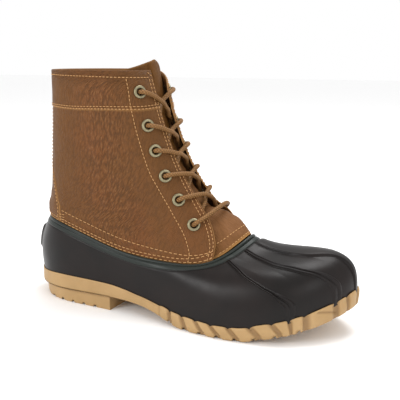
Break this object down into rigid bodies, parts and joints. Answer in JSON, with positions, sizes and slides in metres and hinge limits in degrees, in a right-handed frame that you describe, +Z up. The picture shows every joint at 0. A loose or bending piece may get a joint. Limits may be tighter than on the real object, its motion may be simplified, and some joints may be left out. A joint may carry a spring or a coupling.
{
  "type": "duck boot",
  "caption": "Right duck boot with a gum rubber sole, a dark ribbed rubber bottom, a brown pebbled leather shaft and criss-cross laces through brass eyelets.",
  "frame": {"origin": "centre of the heel's resting face, on the floor plane", "axes": "+X towards the toe, +Y towards the medial side, +Z up"},
  "size_m": [0.3068, 0.1099, 0.2195],
  "materials": {
    "gum": "matt gum rubber",
    "rubber": "satin dark rubber",
    "leather": "pebbled brown leather",
    "tongue_leather": "smoother brown leather",
    "footbed": "felt footbed",
    "brass": "antique brass",
    "lace": "braided cord"
  },
  "bodies": {
    "root": {"outsole": "gum", "shell": "rubber", "upper": "leather", "tongue": "tongue_leather", "insole": "footbed", "eyelet_lateral_1": "brass", "eyelet_lateral_2": "brass", "eyelet_lateral_3": "brass", "eyelet_lateral_4": "brass", "eyelet_lateral_5": "brass", "eyelet_lateral_6": "brass", "eyelet_medial_1": "brass", "eyelet_medial_2": "brass", "eyelet_medial_3": "brass", "eyelet_medial_4": "brass", "eyelet_medial_5": "brass", "eyelet_medial_6": "brass", "lace_cross_1": "lace", "lace_cross_2": "lace", "lace_cross_3": "lace", "lace_cross_4": "lace", "lace_cross_5": "lace", "lace_bar": "lace"}
  },
  "joints": []
}
